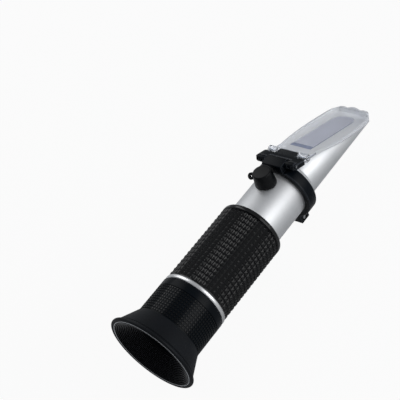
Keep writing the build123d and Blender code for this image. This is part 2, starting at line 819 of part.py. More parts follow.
def make_ocular_cell():
    """The sliding cell of the eyepiece lenses, with the hole for its guide pin."""
    front_y = ocular_back_y + ocular_length
    outer_r = guide_bore_r - running_gap
    lip_r = ocular_bore_r - ocular_lip_width
    cell = turned(
        (lip_r, ocular_back_y),
        (outer_r, ocular_back_y),
        (outer_r, front_y),
        (ocular_bore_r, front_y),
        (ocular_bore_r, ocular_back_y + ocular_lip),
        (lip_r, ocular_back_y + ocular_lip),
    )
    root_z = ocular_bore_r + guide_pin_root
    return cell - upright_rod(0, guide_pin_y, root_z, guide_r, guide_pin_r + bond_gap)


def make_eye_lens():
    """The lens next to the eye, flat side out."""
    return lens(eye_lens_y, eye_lens_edge, eye_lens_bulge, ocular_glass_r, 1)


def make_field_lens():
    """The lens towards the reticle, flat side to the ring."""
    return lens(lens_ring_y, field_lens_edge, field_lens_bulge, ocular_glass_r, -1)


def make_lens_spacer():
    """The tube between the two lenses."""
    return ring(lens_spacer_y, field_lens_y, ocular_glass_r, ocular_glass_r - lens_flat_rim)


def make_lens_ring():
    """The ring that holds the lenses in their cell."""
    front_y = lens_ring_y + lens_ring_length
    return ring(lens_ring_y, front_y, ocular_glass_r, ocular_glass_r - lens_flat_rim)


def make_guide_pin():
    """The pin from the ocular cell through the straight slot into the helical groove."""
    root_z = ocular_bore_r + guide_pin_root
    return upright_rod(0, guide_pin_y, root_z, groove_floor_r - slide_gap, guide_pin_r)


# Reticle and field stop
def make_reticle_cell():
    """The ring in the tube that carries the scale disc against its lip."""
    front_y = reticle_back_y + reticle_cell_length
    lip_y = reticle_y + reticle_thickness
    bore_r = reticle_r + bond_gap
    lip_r = reticle_r - reticle_lip_width
    return turned(
        (bore_r, reticle_back_y),
        (tube_bore_r - bond_gap, reticle_back_y),
        (tube_bore_r - bond_gap, front_y),
        (lip_r, front_y),
        (lip_r, lip_y),
        (bore_r, lip_y),
    )


def make_reticle_disc():
    """The glass disc of the scale."""
    return rod(reticle_y, reticle_y + reticle_thickness, reticle_r)


def make_reticle_ring():
    """The ring that presses the scale disc on its lip."""
    return ring(reticle_back_y, reticle_y, reticle_r, reticle_r - reticle_lip_width)


def make_field_stop():
    """The disc with the round field opening."""
    front_y = field_stop_y + field_stop_thickness
    return ring(field_stop_y, front_y, tube_bore_r - bond_gap, field_stop_bore_r)


# Calibration and temperature compensation
cell_screw_y = objective_y + strip_screw_inset
block_screw_y = calibration_y - block_length / 2 + block_screw_inset


def make_calibration_bush():
    """The bush on top of the tube that holds the calibration screw."""
    bush = upright_rod(0, calibration_y, bush_bottom_z, bush_top_z, bush_r)
    bush -= upright_rod(0, calibration_y, 0, bush_top_z, screw_shank_r + running_gap)
    floor_z = bush_top_z - bush_recess_depth
    return bush - upright_rod(0, calibration_y, floor_z, 2 * bush_top_z, screw_head_r + running_gap)


def make_calibration_screw():
    """The slotted screw, whose thread runs in the block."""
    head_z = bush_top_z - bush_recess_depth + running_gap
    head_top_z = head_z + screw_head_height
    head = upright_rod(0, calibration_y, head_z, head_top_z, screw_head_r)
    shank = upright_rod(0, calibration_y, screw_tip_z, head_z, screw_shank_r)
    half = screw_slot_width / 2
    slot = block(-tube_r, tube_r, calibration_y - half, calibration_y + half,
                 head_top_z - screw_slot_depth, 2 * head_top_z)
    return head + shank - slot


def make_calibration_block():
    """The sliding block that the screw lifts and lowers."""
    half = block_length / 2
    body = block(
        -block_half_width, block_half_width, calibration_y - half, calibration_y + half,
        block_bottom_z, strip_bottom_z,
    )
    body -= upright_rod(0, calibration_y, 0, tube_r, screw_shank_r + running_gap)
    return body - upright_rod(
        0, block_screw_y, strip_bottom_z - strip_screw_depth, tube_r, strip_screw_r + bond_gap
    )


def make_calibration_saddle():
    """The ring in the tube with the upright window that guides the block."""
    half = saddle_length / 2
    saddle = ring(calibration_y - half, calibration_y + half, tube_bore_r - bond_gap, saddle_bore_r)
    side = block_half_width + slide_gap
    front_y = strip_front_y + slide_gap
    saddle -= block(-side, side, 0, front_y, 0, 2 * tube_r)
    return saddle - upright_rod(0, calibration_y, bush_bottom_z, tube_r, bush_r + bond_gap)


def make_bimetal_strip():
    """The two-metal strip that carries the objective and bends with temperature."""
    strip = block(
        -strip_half_width, strip_half_width, objective_y, strip_front_y, strip_bottom_z, strip_top_z
    )
    strip -= upright_rod(0, calibration_y, 0, tube_r, screw_shank_r + slide_gap)
    for y in (cell_screw_y, block_screw_y):
        strip -= upright_rod(0, y, 0, tube_r, strip_head_r + bond_gap)
    return strip


def make_strip_screws():
    """The two flush screws through the ends of the strip."""
    screws = []
    for y in (cell_screw_y, block_screw_y):
        head = upright_rod(0, y, strip_bottom_z, strip_top_z, strip_head_r)
        shank = upright_rod(0, y, strip_bottom_z - strip_screw_depth, strip_bottom_z, strip_screw_r)
        screws.append(head + shank)
    return Compound(children=screws)


def make_objective_cell():
    """The objective's ring, flat on top where it hangs from the strip."""
    cell = ring(objective_y, objective_y + objective_length, objective_r, objective_bore_r)
    cell -= block(-tube_r, tube_r, 0, nose_tip_y, strip_bottom_z, 2 * tube_r)
    return cell - upright_rod(
        0, cell_screw_y, strip_bottom_z - strip_screw_depth, tube_r, strip_screw_r + bond_gap
    )


def make_objective_lens():
    """The objective, which throws the prism's shadow line on the scale."""
    middle_y = objective_y + objective_length / 2
    radius = objective_bore_r - bond_gap
    return lens(middle_y, objective_lens_edge, objective_lens_bulge, radius, -1)


def make_rubber_cap():
    """The rubber cap over the calibration screw, with its pull loop."""
    base_r = bush_r + cap_base_wall
    top_r = bush_r + cap_top_wall
    height = cap_top_z - tube_bore_r
    body = Pos(0, calibration_y, tube_bore_r + height / 2) * Cone(base_r, top_r, height)
    body = fillet(body.edges().group_by(Axis.Z)[-1], cap_round)
    loop_place = Pos(-loop_reach, calibration_y + loop_forward, tube_r + loop_rise)
    loop_place *= Rot(90 - loop_lean, 0, 0)
    stem_start = loop_hole_r + slide_gap
    stem_end = loop_reach - top_r
    stem = Pos((stem_start + stem_end) / 2, 0, 0) * Box(
        stem_end - stem_start, loop_stem_width, loop_thickness
    )
    body += loop_place * (Cylinder(loop_r, loop_thickness) + stem)
    body -= loop_place * Cylinder(loop_hole_r, 2 * loop_thickness)
    body -= upright_rod(0, calibration_y, 0, cap_cavity_z, bush_r + slide_gap)
    return body - rod(0, nose_tip_y, tube_r + free_gap)


pieces = {
    "main_tube": make_main_tube,
    "prism_barrel": make_prism_barrel,
    "main_prism": make_main_prism,
    "prism_seat": make_prism_seat,
    "prism_sealant": make_prism_sealant,
    "joint_ring": make_joint_ring,
    "blue_filter": make_blue_filter,
    "filter_ring": make_filter_ring,
    "clamp_ring": make_clamp_ring,
    "clamp_screw": make_clamp_screw,
    "clamp_nut": make_clamp_nut,
    "hinge_pin": make_hinge_pin,
    "cover_holder": make_cover_holder,
    "plate_pin": make_plate_pin,
    "daylight_plate": make_daylight_plate,
    "rubber_grip": make_rubber_grip,
    "trim_ring": make_trim_ring,
    "guide_tube": make_guide_tube,
    "snap_ring": make_snap_ring,
    "focus_ring": make_focus_ring,
    "eyecup": make_eyecup,
    "ocular_cell": make_ocular_cell,
    "eye_lens": make_eye_lens,
    "field_lens": make_field_lens,
    "lens_spacer": make_lens_spacer,
    "lens_ring": make_lens_ring,
    "guide_pin": make_guide_pin,
    "reticle_cell": make_reticle_cell,
    "reticle_disc": make_reticle_disc,
    "reticle_ring": make_reticle_ring,
    "field_stop": make_field_stop,
    "calibration_bush": make_calibration_bush,
    "calibration_screw": make_calibration_screw,
    "calibration_block": make_calibration_block,
    "calibration_saddle": make_calibration_saddle,
    "bimetal_strip": make_bimetal_strip,
    "strip_screws": make_strip_screws,
    "objective_cell": make_objective_cell,
    "objective_lens": make_objective_lens,
    "rubber_cap": make_rubber_cap,
}

for node, make in pieces.items():
    export_step(to_base * make(), f"parts/{node}.step")
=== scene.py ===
"""The looks of a hand-held wine refractometer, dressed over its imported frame.

Lengths are in metres in the frame's axes: +Y runs along the optical axis from the eyecup to
the prism tip, +Z points to the hinge of the cover. Sizes of pieces are fields in millimetres,
with places along the axis counted from the rim of the eyecup.
"""

import logging
import math
from dataclasses import dataclass
from enum import Enum

import bmesh
import bpy
from mathutils import Matrix, Vector


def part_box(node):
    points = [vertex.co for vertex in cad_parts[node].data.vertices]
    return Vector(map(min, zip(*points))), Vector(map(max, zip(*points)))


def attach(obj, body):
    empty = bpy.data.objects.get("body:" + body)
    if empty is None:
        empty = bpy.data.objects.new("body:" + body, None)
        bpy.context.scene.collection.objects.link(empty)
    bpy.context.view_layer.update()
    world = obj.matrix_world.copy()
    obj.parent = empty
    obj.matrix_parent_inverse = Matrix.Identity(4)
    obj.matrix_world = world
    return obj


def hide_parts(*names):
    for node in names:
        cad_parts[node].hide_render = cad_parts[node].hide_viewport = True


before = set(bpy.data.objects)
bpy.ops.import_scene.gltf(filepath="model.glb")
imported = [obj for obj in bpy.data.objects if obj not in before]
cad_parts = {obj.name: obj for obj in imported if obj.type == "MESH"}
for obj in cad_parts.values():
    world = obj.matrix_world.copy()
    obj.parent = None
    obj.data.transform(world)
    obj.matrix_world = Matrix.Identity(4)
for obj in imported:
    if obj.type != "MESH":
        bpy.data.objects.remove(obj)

log = logging.getLogger("refractometer")

# A millimetre in the frame's metres, and the places of the eyecup's rim and the optical axis
MM = 0.001
RIM_LOW, RIM_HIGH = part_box("eyecup")
AXIS_Z = (RIM_LOW.z + RIM_HIGH.z) / 2
RIM_Y = RIM_LOW.y

# Millimetres: a fit between two pieces, doubled points of a copy, a cut's reach for points that
# lie on it, and how far a flat facet's middle may lie inside its round
FIT_GAP = 0.02
MERGE_GAP = 0.002
CUT_REACH = 0.001
FACET_SAG = 0.3

# Degrees: faces that count as one plane, edges that count as sharp, and the usual smooth shading
FLAT_ANGLE = 0.2
SHARP_ANGLE = 35.0
SMOOTH_ANGLE = 32.0

# Share of a face's normal along a direction from which the face counts as facing that way
FACING = 0.9


class Body(Enum):
    """The bodies of the frame that pieces ride on."""

    TUBE = "body"
    HOLDER = "cover_holder"
    PLATE = "daylight_plate"
    CAP = "rubber_cap"
    SCREW = "calibration_screw"
    FOCUS = "focus_ring"
    OCULAR = "ocular"


class Slot(Enum):
    """The material slots of the record."""

    ALUMINIUM = "satin_aluminium"
    BLACK_METAL = "black_metal"
    BLACK_PLASTIC = "black_plastic"
    RUBBER = "black_rubber"
    STEEL = "steel"
    BRASS = "brass"
    CLEAR_PLASTIC = "clear_plastic"
    GLASS = "optical_glass"
    SEALANT = "pale_sealant"


# Shader helpers


def linear(hex_colour: str) -> tuple[float, float, float, float]:
    """Turns an sRGB hex colour such as "#1c1d20" into linear values for a shader socket.

    Args:
        hex_colour: the colour as six hex digits after a hash.

    Returns:
        Red, green, blue and an alpha of 1.
    """
    parts = [int(hex_colour[i : i + 2], 16) / 255 for i in (1, 3, 5)]
    values = [p / 12.92 if p <= 0.04045 else ((p + 0.055) / 1.055) ** 2.4 for p in parts]
    return (*values, 1.0)


def add_node(
    tree: bpy.types.NodeTree, kind: str, inputs: dict | None = None, **settings: object
) -> bpy.types.Node:
    """Adds a shader node, applies its settings and fills or links its inputs.

    Args:
        tree: the node tree of the material or world.
        kind: the node's type name.
        inputs: values or output sockets, by the input's name or number.
        settings: attributes of the node itself.

    Returns:
        The new node.
    """
    node = tree.nodes.new(kind)
    for name, value in settings.items():
        setattr(node, name, value)
    for key, value in (inputs or {}).items():
        if isinstance(value, bpy.types.NodeSocket):
            tree.links.new(value, node.inputs[key])
        else:
            node.inputs[key].default_value = value
    return node


def new_material(name: str) -> tuple[bpy.types.Material, bpy.types.NodeTree]:
    """Makes an empty node material.

    Args:
        name: the finish's plain name.

    Returns:
        The material and its node tree.
    """
    material = bpy.data.materials.new(name)
    material.use_nodes = True
    material.node_tree.nodes.clear()
    return material, material.node_tree


# Finishes


@dataclass(frozen=True)
class Finish:
    """A solid finish: a tone that drifts a little, and a fine grain in its relief and gloss.

    Spacings are the sizes of the pattern along x, y and z, and the grain's depth is its height,
    all in millimetres. The tone is broad, as moulding and handling leave it. The grain is what
    the tool or the mould left. Ranges are the values of the noise that are spread to 0 and 1.
    """

    name: str
    dark: str
    light: str
    roughness: float
    metallic: float = 0.0
    specular: float = 0.5
    coat: float = 0.0
    transmission: float = 0.0
    ior: float = 1.5
    tone_spacing: tuple[float, float, float] = (20.0, 20.0, 20.0)
    grain_spacing: tuple[float, float, float] = (0.4, 0.4, 0.4)
    grain_depth: float = 0.02
    grain_strength: float = 0.3
    gloss_spread: float = 0.05
    tone_detail: float = 2.0
    grain_detail: float = 3.0
    tone_range: tuple[float, float] = (0.3, 0.7)
    grain_range: tuple[float, float] = (0.25, 0.75)

    def build(self) -> bpy.types.Material:
        """Builds the material.

        Returns:
            The material with its shader linked.
        """
        material, tree = new_material(self.name)
        place = add_node(tree, "ShaderNodeTexCoord")
        patterns = []
        for spacing, detail in (
            (self.tone_spacing, self.tone_detail),
            (self.grain_spacing, self.grain_detail),
        ):
            scale = tuple(1 / (size * MM) for size in spacing)
            mapped = add_node(
                tree, "ShaderNodeMapping", {"Vector": place.outputs["Object"], "Scale": scale}
            )
            noise = {"Vector": mapped.outputs[0], "Scale": 1.0, "Detail": detail}
            patterns.append(add_node(tree, "ShaderNodeTexNoise", noise).outputs[0])
        tone, grain = patterns
        low, high = self.tone_range
        drift = add_node(tree, "ShaderNodeMapRange", {0: tone, 1: low, 2: high, 3: 0.0, 4: 1.0})
        colour = add_node(tree, "ShaderNodeValToRGB", {0: drift.outputs[0]})
        colour.color_ramp.elements[0].color = linear(self.dark)
        colour.color_ramp.elements[1].color = linear(self.light)
        low, high = self.grain_range
        polished = max(self.roughness - self.gloss_spread, 0.0)
        dull = self.roughness + self.gloss_spread
        gloss = add_node(
            tree, "ShaderNodeMapRange", {0: grain, 1: low, 2: high, 3: polished, 4: dull}
        )
        relief = {
            "Height": grain,
            "Distance": self.grain_depth * MM,
            "Strength": self.grain_strength,
        }
        bump = add_node(tree, "ShaderNodeBump", relief)
        inputs = {
            "Base Color": colour.outputs[0],
            "Metallic": self.metallic,
            "Roughness": gloss.outputs[0],
            "Coat Weight": self.coat,
            "Transmission Weight": self.transmission,
            "Normal": bump.outputs[0],
        }
        if not self.metallic:
            inputs["IOR"] = self.ior
            inputs["Specular IOR Level"] = self.specular
        shader = add_node(tree, "ShaderNodeBsdfPrincipled", inputs)
        add_node(tree, "ShaderNodeOutputMaterial", {"Surface": shader.outputs[0]})
        return material


# Satin anodised aluminium, turned on a lathe: a broad soft shine with fine rings round the axis.
# At 0.35 mm the rings are coarser than a usual finishing feed, which would be too fine to show
SATIN_ALUMINIUM = Finish(
    "satin anodised aluminium",
    dark="#e3e5e7",
    light="#eaebed",
    roughness=0.53,
    metallic=1.0,
    gloss_spread=0.03,
    tone_spacing=(30.0, 12.0, 30.0),
    grain_spacing=(20.0, 0.35, 20.0),
    grain_depth=0.004,
    grain_strength=0.25,
)
# The same aluminium where the tool left it bright: a narrow shine with sharp ends
BRIGHT_ALUMINIUM = Finish(
    "bright turned aluminium",
    dark="#f1f2f4",
    light="#f7f8f9",
    roughness=0.32,
    metallic=1.0,
    gloss_spread=0.03,
    grain_spacing=(20.0, 0.2, 20.0),
    grain_depth=0.003,
)
# Milled aluminium of the slanting face: the straight marks of the cutter run down the slope
MILLED_ALUMINIUM = Finish(
    "milled aluminium",
    dark="#d9dbde",
    light="#e4e5e8",
    roughness=0.4,
    metallic=1.0,
    gloss_spread=0.04,
    tone_spacing=(6.0, 20.0, 6.0),
    grain_spacing=(0.3, 15.0, 5.0),
    grain_depth=0.005,
)
# Black anodised aluminium inside the tube: dull, so that no stray light reaches the eye
BLACK_ANODISED = Finish(
    "black anodised aluminium",
    dark="#060607",
    light="#0c0d0e",
    roughness=0.55,
    specular=0.15,
)
# Moulded synthetic rubber: matt and deep black, with the spark-eroded grain of its mould
MOULDED_RUBBER = Finish(
    "moulded rubber",
    dark="#06080a",
    light="#0b0d0f",
    roughness=0.32,
    specular=0.18,
    grain_spacing=(0.3, 0.3, 0.3),
    grain_strength=0.4,
)
# The grip's harder rubber: its polished mould leaves facets that catch a narrow, bright glint
KNURL_RUBBER = Finish(
    "polished grip rubber",
    dark="#030405",
    light="#06080a",
    roughness=0.12,
    specular=0.42,
    grain_spacing=(0.5, 0.5, 0.5),
    grain_depth=0.006,
)
# Rubber on its edges, rubbed smooth by hands, and painted paler along them as a highlight
HIGHLIGHT_EDGE_RUBBER = Finish(
    "rubber edges with painted highlight",
    dark="#2c2e30",
    light="#3c3e40",
    roughness=0.3,
    specular=0.5,
    grain_spacing=(0.5, 0.5, 0.5),
    grain_depth=0.01,
)
# Rubber in grooves and between the ribs of the funnel, dusty and dull, so that it stays black
SUNK_RUBBER = Finish(
    "dull sunk rubber",
    dark="#0c0c0f",
    light="#101013",
    roughness=0.6,
    specular=0.1,
    grain_spacing=(0.5, 0.5, 0.5),
    grain_depth=0.006,
)
# The crests of the funnel's ribs, painted pale as a highlight, so that they stand out as fine
# pale rings
CREST_HIGHLIGHT_RUBBER = Finish(
    "rib crests with painted highlight",
    dark="#26272b",
    light="#303136",
    roughness=0.35,
    specular=0.5,
    grain_spacing=(0.6, 0.6, 0.6),
    grain_depth=0.005,
)
# The fine ridge round the eyecup's mouth, painted pale as a highlight, so that it draws a thin
# line
MOUTH_HIGHLIGHT_RUBBER = Finish(
    "mouth ridge with painted highlight",
    dark="#d4d7db",
    light="#e2e5e8",
    roughness=0.3,
    specular=0.5,
    grain_spacing=(0.6, 0.6, 0.6),
    grain_depth=0.005,
)
# The eyecup's softer rubber: a trace of blue, with a low sheen
SOFT_RUBBER = Finish(
    "soft eyecup rubber",
    dark="#0b0e12",
    light="#12161c",
    roughness=0.5,
    specular=0.16,
    grain_spacing=(0.35, 0.35, 0.35),
    grain_depth=0.01,
)
# Injection moulded ABS: a fine satin texture and a trace of blue
MOULDED_ABS = Finish(
    "black moulded ABS",
    dark="#060a0f",
    light="#0a1016",
    roughness=0.28,
    specular=0.09,
    grain_spacing=(0.25, 0.25, 0.25),
    grain_depth=0.01,
)
# The same ABS on its edges, painted paler as a highlight, with a dull polish that catches the
# light
HIGHLIGHT_EDGE_ABS = Finish(
    "ABS edges with painted highlight",
    dark="#2b2f36",
    light="#393e46",
    roughness=0.26,
    specular=0.5,
    grain_spacing=(0.6, 0.6, 0.6),
    grain_depth=0.006,
)
# The ring in the joint, painted pale grey as painted light over the shade of its groove, so that
# it shows as no more than a fine line beside the clamp
PAINTED_LIGHT_RING = Finish("joint ring with painted light", dark="#b9bcc0", light="#c6c9cc", roughness=0.4)
# The tops of the focusing ring's studs, polished by fingers: rows of small bright dots
STUD_ABS = Finish(
    "polished stud tops",
    dark="#060708",
    light="#0b0c0d",
    roughness=0.1,
    specular=0.26,
    grain_spacing=(0.6, 0.6, 0.6),
    grain_depth=0.006,
)
# Stainless steel pins and screws, turned and lightly polished: small clear glints
TURNED_STEEL = Finish(
    "turned stainless steel",
    dark="#a9abae",
    light="#bfc1c4",
    roughness=0.26,
    metallic=1.0,
    grain_depth=0.004,
)
# Turned brass of the calibration parts, a warm spot when the cap is off
TURNED_BRASS = Finish(
    "turned brass",
    dark="#b3924f",
    light="#c9a762",
    roughness=0.28,
    metallic=1.0,
    grain_spacing=(10.0, 10.0, 0.2),
    grain_depth=0.004,
)
# Blue paint behind the prism, deep and even, seen through the glass
BLUE_PAINT = Finish("blue backing paint", dark="#00329a", light="#0745b8", roughness=0.45)
# Cured clear sealant round the prism, smooth and pale
CURED_SEALANT = Finish(
    "cured sealant", dark="#b4b8be", light="#cdd1d6", roughness=0.3, coat=0.3, grain_depth=0.01
)
# Moulded acrylic of the daylight plate: clear, with a faint milky veil
MILKY_ACRYLIC = Finish(
    "moulded acrylic",
    dark="#f5f8ff",
    light="#fbfdff",
    roughness=0.12,
    ior=1.49,
    transmission=0.36,
    grain_spacing=(4.0, 0.8, 4.0),
    grain_depth=0.006,
)
# The plate's frosted panel over the prism, etched so that daylight reaches the scale evenly
FROSTED_ACRYLIC = Finish(
    "frosted acrylic",
    dark="#dde0ee",
    light="#e3e6f2",
    roughness=0.45,
    ior=1.49,
    transmission=0.5,
    grain_spacing=(0.5, 0.5, 0.5),
)
# Clear acrylic at the panel's margins, painted blue for the prism's edge seen through it from
# below
PRISM_BLUE_ACRYLIC = Finish(
    "acrylic with painted prism blue",
    dark="#8d98b8",
    light="#96a0be",
    roughness=0.2,
    ior=1.49,
    transmission=0.3,
    grain_spacing=(2.0, 2.0, 2.0),
    grain_depth=0.01,
)
# Clear acrylic of the plate's hinge end, with the polish of its mould
POLISHED_ACRYLIC = Finish(
    "polished acrylic",
    dark="#e4e8f0",
    light="#f2f4f8",
    roughness=0.06,
    ior=1.49,
    transmission=0.92,
    grain_spacing=(2.0, 2.0, 2.0),
    grain_depth=0.01,
    gloss_spread=0.02,
)
# Optical glass of the lenses, clear to the black inside of the tube
OPTICAL_GLASS = Finish(
    "optical glass",
    dark="#f2f6f6",
    light="#f5f8f8",
    roughness=0.0,
    ior=1.52,
    transmission=1.0,
    grain_depth=0.001,
    gloss_spread=0.01,
)
# The prism's polished glass, filled by the deep blue of the paint on its back and sides
PRISM_GLASS = Finish(
    "prism glass",
    dark="#083b98",
    light="#0c45a6",
    roughness=0.04,
    ior=1.55,
    transmission=0.35,
    grain_spacing=(5.0, 5.0, 5.0),
    grain_depth=0.002,
    gloss_spread=0.01,
)
# Blue filter glass in front of the prism, coloured all through
FILTER_GLASS = Finish(
    "blue filter glass",
    dark="#2a55b8",
    light="#335fc0",
    roughness=0.0,
    ior=1.52,
    transmission=1.0,
    grain_depth=0.001,
    gloss_spread=0.01,
)

made_materials: dict[str, bpy.types.Material] = {}


def material_of(finish: Finish) -> bpy.types.Material:
    """Returns the material of a finish, made once.

    Args:
        finish: the finish to look up or build.

    Returns:
        Its material.
    """
    if finish.name not in made_materials:
        made_materials[finish.name] = finish.build()
    return made_materials[finish.name]


# Mesh helpers


def lathe(
    outline: list[tuple[float, float]],
    steps: int,
    rounds: dict[int, tuple[float, int]] | None = None,
) -> bmesh.types.BMesh:
    """Turns a closed outline about the optical axis.

    Args:
        outline: (y, radius) corners in millimetres, y counted from the rim of the eyecup.
        steps: facets round the axis.
        rounds: corner number -> (round in millimetres, segments).

    Returns:
        The closed shell.
    """
    shell = bmesh.new()
    corners = [
        shell.verts.new((0.0, RIM_Y + y * MM, AXIS_Z + radius * MM)) for y, radius in outline
    ]
    edges = [shell.edges.new(pair) for pair in zip(corners, corners[1:] + corners[:1])]
    for number, (size, segments) in (rounds or {}).items():
        bmesh.ops.bevel(
            shell,
            geom=[corners[number]],
            offset=size * MM,
            offset_type="OFFSET",
            segments=segments,
            profile=0.5,
            affect="VERTICES",
            material=-1,
        )
    loose = [vert for vert in shell.verts if not vert.link_faces]
    edges = [edge for edge in shell.edges if not edge.link_faces]
    bmesh.ops.spin(
        shell,
        geom=loose + edges,
        cent=(0.0, 0.0, AXIS_Z),
        axis=(0.0, 1.0, 0.0),
        dvec=(0.0, 0.0, 0.0),
        angle=2 * math.pi,
        steps=steps,
        use_merge=True,
    )
    bmesh.ops.recalc_face_normals(shell, faces=shell.faces)
    return shell


def arc(
    middle: tuple[float, float], radius: float, start: float, end: float, count: int
) -> list[tuple[float, float]]:
    """Works out the corners of a round part of an outline.

    Args:
        middle: (y, radius) of the round's centre in millimetres.
        radius: the round's own radius.
        start: direction of the first corner in degrees, 0 outwards and 90 towards the prism.
        end: direction of the last corner.
        count: number of corners.

    Returns:
        The corners in order.
    """
    turns = [math.radians(start + (end - start) * step / (count - 1)) for step in range(count)]
    place, away = middle
    return [(place + radius * math.sin(turn), away + radius * math.cos(turn)) for turn in turns]


def radius_of(face: bmesh.types.BMFace) -> float:
    """Distance of a face's middle from the optical axis, in millimetres."""
    middle = face.calc_center_median()
    return math.hypot(middle.x, middle.z - AXIS_Z) / MM


def outward(face: bmesh.types.BMFace) -> float:
    """Works out how far a face looks away from the optical axis.

    Args:
        face: a face of a turned piece.

    Returns:
        The share of its normal that points outwards, from -1 to 1.
    """
    middle = face.calc_center_median()
    away = Vector((middle.x, 0.0, middle.z - AXIS_Z)).normalized()
    return face.normal.dot(away)


def place_of(face: bmesh.types.BMFace) -> float:
    """Place of a face's middle along the axis, in millimetres from the eyecup's rim."""
    return (face.calc_center_median().y - RIM_Y) / MM


def merged_copy(node: str) -> bmesh.types.BMesh:
    """Copies a frame node with its loose triangles merged.

    Args:
        node: the node's name.

    Returns:
        The copy.
    """
    shell = bmesh.new()
    shell.from_mesh(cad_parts[node].data)
    bmesh.ops.remove_doubles(shell, verts=shell.verts, dist=MERGE_GAP * MM)
    return shell


def break_edges(shell: bmesh.types.BMesh, width: float, finish_number: int = 0) -> None:
    """Joins the triangles of flat faces and breaks the sharp edges.

    Args:
        shell: the mesh.
        width: width of the bevel in millimetres, or 0 to break none.
        finish_number: material number of the broken edges.
    """
    bmesh.ops.dissolve_limit(
        shell, angle_limit=math.radians(FLAT_ANGLE), verts=shell.verts, edges=shell.edges
    )
    if not width:
        return
    sharp = [
        edge
        for edge in shell.edges
        if len(edge.link_faces) == 2 and edge.calc_face_angle(0.0) > math.radians(SHARP_ANGLE)
    ]
    broken = bmesh.ops.bevel(
        shell,
        geom=sharp,
        offset=width * MM,
        offset_type="OFFSET",
        segments=2,
        profile=0.5,
        affect="EDGES",
        clamp_overlap=False,
        material=-1,
    )
    for face in broken["faces"]:
        face.material_index = finish_number


@dataclass
class Assembly:
    """A sub-assembly: knows its body and turns shells into finished pieces."""

    body: Body = Body.TUBE

    def finish_piece(
        self,
        name: str,
        shell: bmesh.types.BMesh,
        slot: Slot,
        finishes: list[Finish],
        replaces: list[str],
        smooth_angle: float = SMOOTH_ANGLE,
        body: Body | None = None,
    ) -> None:
        """Makes an object of a shell, dresses it and lets it ride on its body.

        Args:
            name: name of the piece.
            shell: its mesh, which is freed.
            slot: the record's material slot; not used.
            finishes: materials in the order of the faces' material numbers.
            replaces: frame nodes that the piece stands for.
            smooth_angle: faces that meet flatter than this are shaded as one surface.
            body: the body it rides on, if not the assembly's own.
        """
        mesh = bpy.data.meshes.new(name)
        shell.to_mesh(mesh)
        shell.free()
        for finish in finishes:
            mesh.materials.append(material_of(finish))
        mesh.shade_smooth()
        mesh.set_sharp_from_angle(angle=math.radians(smooth_angle))
        piece = bpy.data.objects.new(name, mesh)
        bpy.context.scene.collection.objects.link(piece)
        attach(piece, (body or self.body).value)
        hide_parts(*replaces)
        log.info("%s: %d faces", name, len(mesh.polygons))

    def refine(
        self,
        node: str,
        slot: Slot,
        finish: Finish,
        edge_break: float = 0.0,
        body: Body | None = None,
        edge_highlight: Finish | None = None,
    ) -> None:
        """Replaces a node by its own merged copy with broken edges and smooth shading.

        Args:
            node: the frame node.
            slot: the record's material slot.
            finish: its material.
            edge_break: bevel on sharp edges in millimetres, or 0.
            body: the body it rides on, if not the assembly's own.
            edge_highlight: finish of the broken edges, painted paler as a highlight, if not the
                piece's own.
        """
        shell = merged_copy(node)
        break_edges(shell, edge_break, 1 if edge_highlight else 0)
        finishes = [finish, edge_highlight] if edge_highlight else [finish]
        self.finish_piece(f"{node}_finished", shell, slot, finishes, [node], body=body)

    def dress(self, nodes: list[str], finish: Finish) -> None:
        """Gives nodes whose shape is right their material.

        Args:
            nodes: frame nodes.
            finish: the material for all of them.
        """
        for node in nodes:
            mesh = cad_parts[node].data
            mesh.materials.clear()
            mesh.materials.append(material_of(finish))
            log.info("%s: %s", node, finish.name)


# Sub-assemblies


@dataclass
class SilverTube(Assembly):
    """Main tube with its bright bevelled mouth, trim ring, joint ring and the inner parts.

    A round is its size in millimetres and its number of segments.
    """

    bore_r: float = 12.0
    tube_r: float = 13.5
    back: float = 31.8
    mouth: float = 114.0
    bevel_length: float = 2.4
    bevel_depth: float = 0.8
    bore_margin: float = 0.1
    back_round: tuple[float, int] = (0.15, 2)
    mouth_round: tuple[float, int] = (0.15, 3)
    trim_r: float = 16.6
    trim_front: float = 34.2
    trim_round: tuple[float, int] = (0.95, 6)
    steps: int = 128

    def build(self) -> None:
        """Builds and dresses every piece of the tube."""
        self.build_tube()
        self.build_trim()
        # The joint ring is painted pale to stand for light in its shaded groove
        self.refine("joint_ring", Slot.BLACK_PLASTIC, PAINTED_LIGHT_RING)
        dull = ["guide_tube", "reticle_cell", "reticle_ring", "field_stop", "filter_ring"]
        self.dress(dull + ["calibration_saddle"], BLACK_ANODISED)
        self.dress(["snap_ring"], TURNED_STEEL)
        self.dress(["reticle_disc"], OPTICAL_GLASS)
        self.dress(["blue_filter"], FILTER_GLASS)

    def build_tube(self) -> None:
        """Turns the tube and gives its bevelled mouth the bright finish."""
        foot = self.mouth - self.bevel_length
        outline = [
            (self.back, self.bore_r),
            (self.back, self.tube_r),
            (foot, self.tube_r),
            (self.mouth, self.tube_r - self.bevel_depth),
            (self.mouth, self.bore_r),
        ]
        shell = lathe(outline, self.steps, {1: self.back_round, 3: self.mouth_round})
        for face in shell.faces:
            if place_of(face) > foot and radius_of(face) > self.bore_r + self.bore_margin:
                face.material_index = 1
        finishes = [SATIN_ALUMINIUM, BRIGHT_ALUMINIUM]
        self.finish_piece("silver_tube", shell, Slot.ALUMINIUM, finishes, ["main_tube"])

    def build_trim(self) -> None:
        """Turns the bright ring between the grip and the focusing ring."""
        inner = self.tube_r + FIT_GAP
        outline = [
            (self.back, inner),
            (self.back, self.trim_r),
            (self.trim_front, self.trim_r),
            (self.trim_front, inner),
        ]
        shell = lathe(outline, self.steps, {1: self.trim_round, 2: self.trim_round})
        self.finish_piece("trim", shell, Slot.ALUMINIUM, [BRIGHT_ALUMINIUM], ["trim_ring"])


